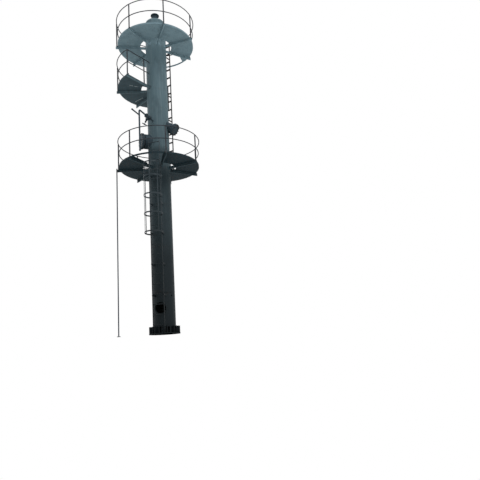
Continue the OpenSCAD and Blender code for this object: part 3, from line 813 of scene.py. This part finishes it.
class COLUMN_OT_shell_pads(bpy.types.Operator):
    """Puts a plate on the shell under each ladder stay and lifting lug"""

    bl_idname = "column.shell_pads"
    bl_label = "Pads of stays and lugs"

    def execute(self, context):
        bm = bmesh.new()
        swing = math.degrees(math.asin((LADDER_HALF + 4) / SHELL_R))
        for ladder in (LOW_LADDER, TOP_LADDER):
            for z in ladder["stays"]:
                for side in (-1, 1):
                    curved_plate(bm, ladder["az"] + side * swing, z, *STAY_PAD, 6 * MM)
        for az in (0, 180):
            curved_plate(bm, az, LUG_Z, *LUG_PAD, 10 * MM)
        finish_piece("shell_pads", bm, "shaded_weathered_alkyd_enamel")
        return {"FINISHED"}


class COLUMN_OT_manway_studs(bpy.types.Operator):
    """Sets the studs and nuts round the manway's cover"""

    bl_idname = "column.manway_studs"
    bl_label = "Manway studs"

    def execute(self, context):
        sizes = context.scene.column_sizes
        bolt = sizes.manway_stud / MM
        bm = bmesh.new()
        face = along_axis(MANWAY, MAN_FACE_R - MAN_FLANGE_T - SHELL_R)
        for place in circle_of(face, sizes.manway_studs, MAN_STUD_R):
            stud(bm, place, bolt, MAN_FLANGE_T + MAN_COVER_T)
        finish_piece("manway_studs", bm, "dull_zinc", False)
        return {"FINISHED"}


class COLUMN_OT_nozzle_studs(bpy.types.Operator):
    """Sets the studs of the drain cover, the feed flanges and the valve's bonnet"""

    bl_idname = "column.nozzle_studs"
    bl_label = "Nozzle studs"

    def execute(self, context):
        bm = bmesh.new()
        for place in circle_of(along_axis(DRAIN, DRAIN_LEN - DRAIN_FLANGE_T), DRAIN_STUDS, DRAIN_STUD_R):
            stud(bm, place, 27, DRAIN_FLANGE_T + GASKET_T + DRAIN_COVER_T)
        for out in (FEED_FACE_R - FEED_FLANGE_T, FEED_FACE_R + VALVE_LEN - FEED_FLANGE_T):
            for place in circle_of(along_axis(FEED, out - SHELL_R), FEED_STUDS, FEED_STUD_R):
                stud(bm, place, 16, 2 * FEED_FLANGE_T)
        middle = at(FEED["az"], FEED_FACE_R + VALVE_LEN / 2, FEED["z"])
        stem = turned(middle, STEM_TURN, "X")
        for place in circle_of(shifted(stem, 0, 0, BONNET_UNDER), BONNET_STUDS, BONNET_STUD_R, 0):
            stud(bm, place, 9, 24)
        nut(bm, shifted(stem, 0, 0, STEM_TOP), 18)
        finish_piece("nozzle_studs", bm, "dull_zinc", False)
        return {"FINISHED"}


class COLUMN_OT_gaskets(bpy.types.Operator):
    """Shows the dark edge of the gasket in each flanged joint"""

    bl_idname = "column.gaskets"
    bl_label = "Gaskets"

    def execute(self, context):
        bm = bmesh.new()
        joints = (
            (MANWAY, MAN_FACE_R - SHELL_R, MAN_GASKET_R),
            (DRAIN, DRAIN_LEN + 1.2, DRAIN_FACE_R + 1),
            (FEED, FEED_FACE_R - SHELL_R, FEED_GASKET_R),
            (FEED, FEED_FACE_R + VALVE_LEN - SHELL_R, FEED_GASKET_R),
        )
        for nozzle, out, radius in joints:
            hoop(bm, along_axis(nozzle, out), radius, 3.2, 3.2, 64, 6)
        finish_piece("gaskets", bm, "graphite_gasket")
        return {"FINISHED"}


class COLUMN_OT_deck_infills(bpy.types.Operator):
    """Lays the plates that narrow the openings round the shell and beside the ladders"""

    bl_idname = "column.deck_infills"
    bl_label = "Deck infills"

    def execute(self, context):
        bm = bmesh.new()
        for infill in INFILLS:
            deck_plate(bm, *infill)
        corner = shifted(at(LIP_AZ, LIP_R, 0), 0, LIP_SIDE, 0).translation
        for turns in ((90, 0), (135, 180)):
            cuts = [(corner, LIP_AZ + turn) for turn in turns]
            deck_plate(bm, TOP_Z, OPENING_R, DECK_R, LIP_FROM, LIP_TO, cuts)
        finish_piece("deck_infills", bm, "sooty_shaded_platform_paint", False)
        return {"FINISHED"}


class COLUMN_OT_deck_joints(bpy.types.Operator):
    """Lays a bead under each welded joint of the deck plates and pale sealant in the open ones"""

    bl_idname = "column.deck_joints"
    bl_label = "Deck joints"

    def execute(self, context):
        beads = bmesh.new()
        sealant = bmesh.new()
        start_r = DECK_IN_R + 20
        for z, welded, opened in JOINTS:
            for az in welded:
                under = at(az, start_r, z - DECK_T) @ Matrix.Diagonal((1, 1, 0.35, 1))
                rod(beads, turned(under, 90, "Y"), 14, DECK_R - 10 - start_r, 8)
            for az, start, end in opened:
                block(sealant, at(az, (start + end) / 2, z - DECK_T - 1), (end - start, 16, 5))
        finish_piece("deck_joints", beads, "sooty_shaded_platform_paint")
        finish_piece("deck_sealant", sealant, "pale_joint_sealant", False)
        return {"FINISHED"}


class COLUMN_OT_rung_treads(bpy.types.Operator):
    """Folds a steel tread over each rung of the upper ladder"""

    bl_idname = "column.rung_treads"
    bl_label = "Rung treads"

    def execute(self, context):
        bm = bmesh.new()
        across = 2 * (LADDER_HALF - 14)
        for z in rung_heights(TOP_LADDER):
            rung = at(TOP_LADDER["az"], LADDER_R, z)
            block(bm, shifted(rung, 0, 0, 17.5), (48, across, 4))
            for side in (-1, 1):
                block(bm, shifted(rung, side * 22, 0, -2), (4, across, 38))
        finish_piece("rung_treads", bm, "rusty_ladder_enamel", False)
        return {"FINISHED"}


class COLUMN_OT_deck_screws(bpy.types.Operator):
    """Screws the deck plates to the beams with round heads"""

    bl_idname = "column.deck_screws"
    bl_label = "Deck screws"

    def execute(self, context):
        count = context.scene.column_sizes.deck_screws
        first = DECK_IN_R + 50
        last = DECK_R - 60
        bm = bmesh.new()
        for z, beams in PLATFORMS:
            for az in beams:
                for i in range(count):
                    place = at(az, first + i * (last - first) / (count - 1), z)
                    dome = place @ Matrix.Diagonal((1, 1, 0.45, 1))
                    bmesh.ops.create_uvsphere(bm, u_segments=12, v_segments=6, radius=11 * MM, matrix=dome)
        finish_piece("deck_screws", bm, "dull_zinc")
        return {"FINISHED"}


class COLUMN_OT_post_cleats(bpy.types.Operator):
    """Welds each post at its foot and rails, with a cleat between its foot and the deck"""

    bl_idname = "column.post_cleats"
    bl_label = "Post feet and rail welds"

    def execute(self, context):
        bm = bmesh.new()
        for z, beams in PLATFORMS:
            for az in beams:
                post_beads(bm, at(az, POST_R, z), 2 - DECK_T)
                bead = at(az, RAIL_IN_R + 17, z + KNEE_H) @ Matrix.Diagonal((0.5, 1, 1, 1))
                bmesh.ops.create_uvsphere(bm, u_segments=12, v_segments=8, radius=15 * MM, matrix=bead)
                block(bm, at(az, DECK_R + 20, z + 26), (32, 8, 50))
        # The half platform's last post stands on the deck, beside the opening
        post_beads(bm, at(HALF_BEAMS[3], OPENING_R, HALF_Z), 3)
        finish_piece("post_welds", bm, "faded_rail_enamel")
        return {"FINISHED"}


class COLUMN_OT_ladder_bolts(bpy.types.Operator):
    """Bolts the stays, hoops and straps to the ladders and welds the rungs"""

    bl_idname = "column.ladder_bolts"
    bl_label = "Ladder bolts and rung welds"

    def execute(self, context):
        bm = bmesh.new()
        welds = bmesh.new()
        for side in (-1, 1):
            for ladder in (LOW_LADDER, TOP_LADDER):
                for z in ladder["stays"]:
                    for rise in (-14, 14):
                        stud(bm, stile_face(ladder, side, LADDER_R - 8, z + rise), 10, 18.5)
                for z in rung_heights(ladder):
                    face = stile_face(ladder, side, LADDER_R, z)
                    hoop(welds, face, 15, 7, 7, 16, 6)
                    rod(welds, shifted(face, 0, 0, STILE_T), 28, 1.6, 16)
            for z in HOOP_ZS:
                stud(bm, stile_face(LOW_LADDER, side, LADDER_R - 14, z + 25), 10, 16.5)
        for z in HOOP_ZS:
            middle = at(LOW_LADDER["az"], LADDER_R + CAGE_OUT, z + 25)
            for turn in STRAP_TURNS:
                spot = shifted(turned(middle, turn, "Z"), HOOP_IN_R - 6, 0, 0)
                stud(bm, turned(spot, 90, "Y"), 9, 12)
        finish_piece("ladder_bolts", bm, "dull_zinc", False)
        finish_piece("rung_welds", welds, "rusty_ladder_enamel")
        return {"FINISHED"}


class COLUMN_OT_riser_clamp(bpy.types.Operator):
    """Clamps the riser to its beam's end with two U-bolts and fastens its foot"""

    bl_idname = "column.riser_clamp"
    bl_label = "Riser clamps"

    def execute(self, context):
        bm = bmesh.new()
        bow_r = 26
        bar = 10
        for z in (LOW_Z - 30, LOW_Z - 72):
            place = at(RISER_AZ, RISER_R, z)
            circle = turned(shifted(place, 0, bow_r, 0), 90, "Y")
            verts = bmesh.ops.create_circle(bm, cap_ends=True, segments=10, radius=bar * MM / 2,
                                            matrix=circle)["verts"]
            faces = list({face for vert in verts for face in vert.link_faces})
            bmesh.ops.spin(bm, geom=faces, cent=place.translation, axis=(0, 0, 1), dvec=(0, 0, 0),
                           angle=-math.pi, steps=16, use_merge=False, use_duplicate=False)
            for side in (-1, 1):
                leg = turned(shifted(place, 0, side * bow_r, 0), -90, "Y")
                # A leg starts 1 mm inside the bow
                rod(bm, shifted(leg, 0, 0, -1), bar, 53, 10)
                nut(bm, shifted(leg, 0, 0, 36), bar)
            block(bm, shifted(place, -31, 0, 0), (8, 78, 26))
        for x in (-42, 42):
            for y in (-42, 42):
                foot = shifted(at(RISER_AZ, RISER_R, 10), x, y, 0)
                washer(bm, foot, 12)
                nut(bm, shifted(foot, 0, 0, 12 * WASHER_T), 12)
        finish_piece("riser_clamps", bm, "dull_zinc", False)
        return {"FINISHED"}


class COLUMN_OT_stage(bpy.types.Operator):
    """Lays the plain floor, lights it softly and sets the camera"""

    bl_idname = "column.stage"
    bl_label = "Stage, light and camera"

    def execute(self, context):
        scene = context.scene
        bm = bmesh.new()
        bmesh.ops.create_grid(bm, x_segments=1, y_segments=1, size=FLOOR_HALF_M)
        mesh = bpy.data.meshes.new("floor")
        bm.to_mesh(mesh)
        bm.free()
        floor = bpy.data.objects.new("floor", mesh)
        scene.collection.objects.link(floor)
        tree, shader, coords = new_material("pale_floor", 0.9)
        connect(tree, shader, {"Base Color": linear("#e4e4e2")})
        # The camera is lower than the base, so the floor shows from above only
        clear = node(tree, "BsdfTransparent")
        below = node(tree, "NewGeometry").outputs["Backfacing"]
        both = node(tree, "MixShader", {0: below, 1: shader, 2: clear})
        connect(tree, tree.nodes["Material Output"], {"Surface": both})
        mesh.materials.append(bpy.data.materials["pale_floor"])

        world = bpy.data.worlds.new("soft_studio")
        world.use_nodes = True
        sky = world.node_tree
        fill = sky.nodes["Background"]
        connect(sky, fill, {"Color": linear("#f2f5f8"), "Strength": 0.62})
        white = node(sky, "Background", {"Color": (1, 1, 1), "Strength": 1.0})
        path = node(sky, "LightPath").outputs
        seen = node(sky, "Math", {0: path["Is Camera Ray"], 1: path["Is Glossy Ray"]}, operation="MAXIMUM")
        seen = node(sky, "Math", {0: seen, 1: path["Is Transmission Ray"]}, operation="MAXIMUM")
        shown = node(sky, "MixShader", {0: seen, 1: fill, 2: white})
        connect(sky, sky.nodes["World Output"], {"Surface": shown})
        scene.world = world

        for name, turn, lift, power, spread in SUNS:
            lamp = bpy.data.lights.new(name, "SUN")
            lamp.energy = power
            lamp.angle = math.radians(spread)
            light = bpy.data.objects.new(name, lamp)
            light.rotation_euler = (math.radians(90 - lift), 0, math.radians(turn))
            scene.collection.objects.link(light)

        lens = bpy.data.cameras.new("camera")
        lens.sensor_width = 36
        lens.lens = LENS_MM
        lens.clip_end = 400
        camera = bpy.data.objects.new("camera", lens)
        camera.matrix_world = photo_camera()
        scene.collection.objects.link(camera)
        scene.camera = camera
        scene.view_settings.view_transform = "Standard"
        return {"FINISHED"}


def photo_camera():
    """The photograph's place and direction, worked out from its turn, pitch and roll."""
    turn = math.radians(AIM_TURN)
    pitch = math.radians(AIM_PITCH)
    roll = math.radians(AIM_ROLL)
    side = Vector((math.cos(turn), math.sin(turn), 0))
    level = Vector((-math.sin(turn), math.cos(turn), 0))
    ahead = level * math.cos(pitch) + Vector((0, 0, math.sin(pitch)))
    up = Vector((0, 0, math.cos(pitch))) - level * math.sin(pitch)
    right = side * math.cos(roll) + up * math.sin(roll)
    top = up * math.cos(roll) - side * math.sin(roll)
    facing = Matrix((right, top, -ahead)).transposed().to_4x4()
    return Matrix.Translation(EYE) @ facing


class COLUMN_PT_panel(bpy.types.Panel):
    """Lists the steps that dress the column"""

    bl_idname = "COLUMN_PT_panel"
    bl_label = "Distillation Column"
    bl_space_type = "VIEW_3D"
    bl_region_type = "UI"
    bl_category = "Column"

    def draw(self, context):
        for step in STEPS:
            self.layout.operator(step.bl_idname)
        for group in (context.scene.column_sizes, context.scene.column_paints):
            for name in group.bl_rna.properties.keys():
                if name not in ("rna_type", "name"):
                    self.layout.prop(group, name)


STEPS = (
    COLUMN_OT_finishes, COLUMN_OT_weld_seams, COLUMN_OT_nozzle_bodies, COLUMN_OT_nozzle_pads,
    COLUMN_OT_shell_pads, COLUMN_OT_manway_studs, COLUMN_OT_nozzle_studs, COLUMN_OT_gaskets,
    COLUMN_OT_deck_infills, COLUMN_OT_deck_joints, COLUMN_OT_deck_screws, COLUMN_OT_post_cleats,
    COLUMN_OT_ladder_bolts, COLUMN_OT_rung_treads, COLUMN_OT_riser_clamp, COLUMN_OT_stage,
)
CLASSES = (ColumnSizes, ColumnPaints) + STEPS + (COLUMN_PT_panel,)


def register():
    """Registers the classes and hangs the settings on the scene."""
    for item in CLASSES:
        bpy.utils.register_class(item)
    bpy.types.Scene.column_sizes = bpy.props.PointerProperty(type=ColumnSizes)
    bpy.types.Scene.column_paints = bpy.props.PointerProperty(type=ColumnPaints)


def unregister():
    """Takes the settings and the classes away again."""
    del bpy.types.Scene.column_paints
    del bpy.types.Scene.column_sizes
    for item in reversed(CLASSES):
        bpy.utils.unregister_class(item)


def main():
    """Runs every step in order."""
    register()
    for step in STEPS:
        group, name = step.bl_idname.split(".")
        getattr(getattr(bpy.ops, group), name)()


if __name__ == "__main__":
    main()
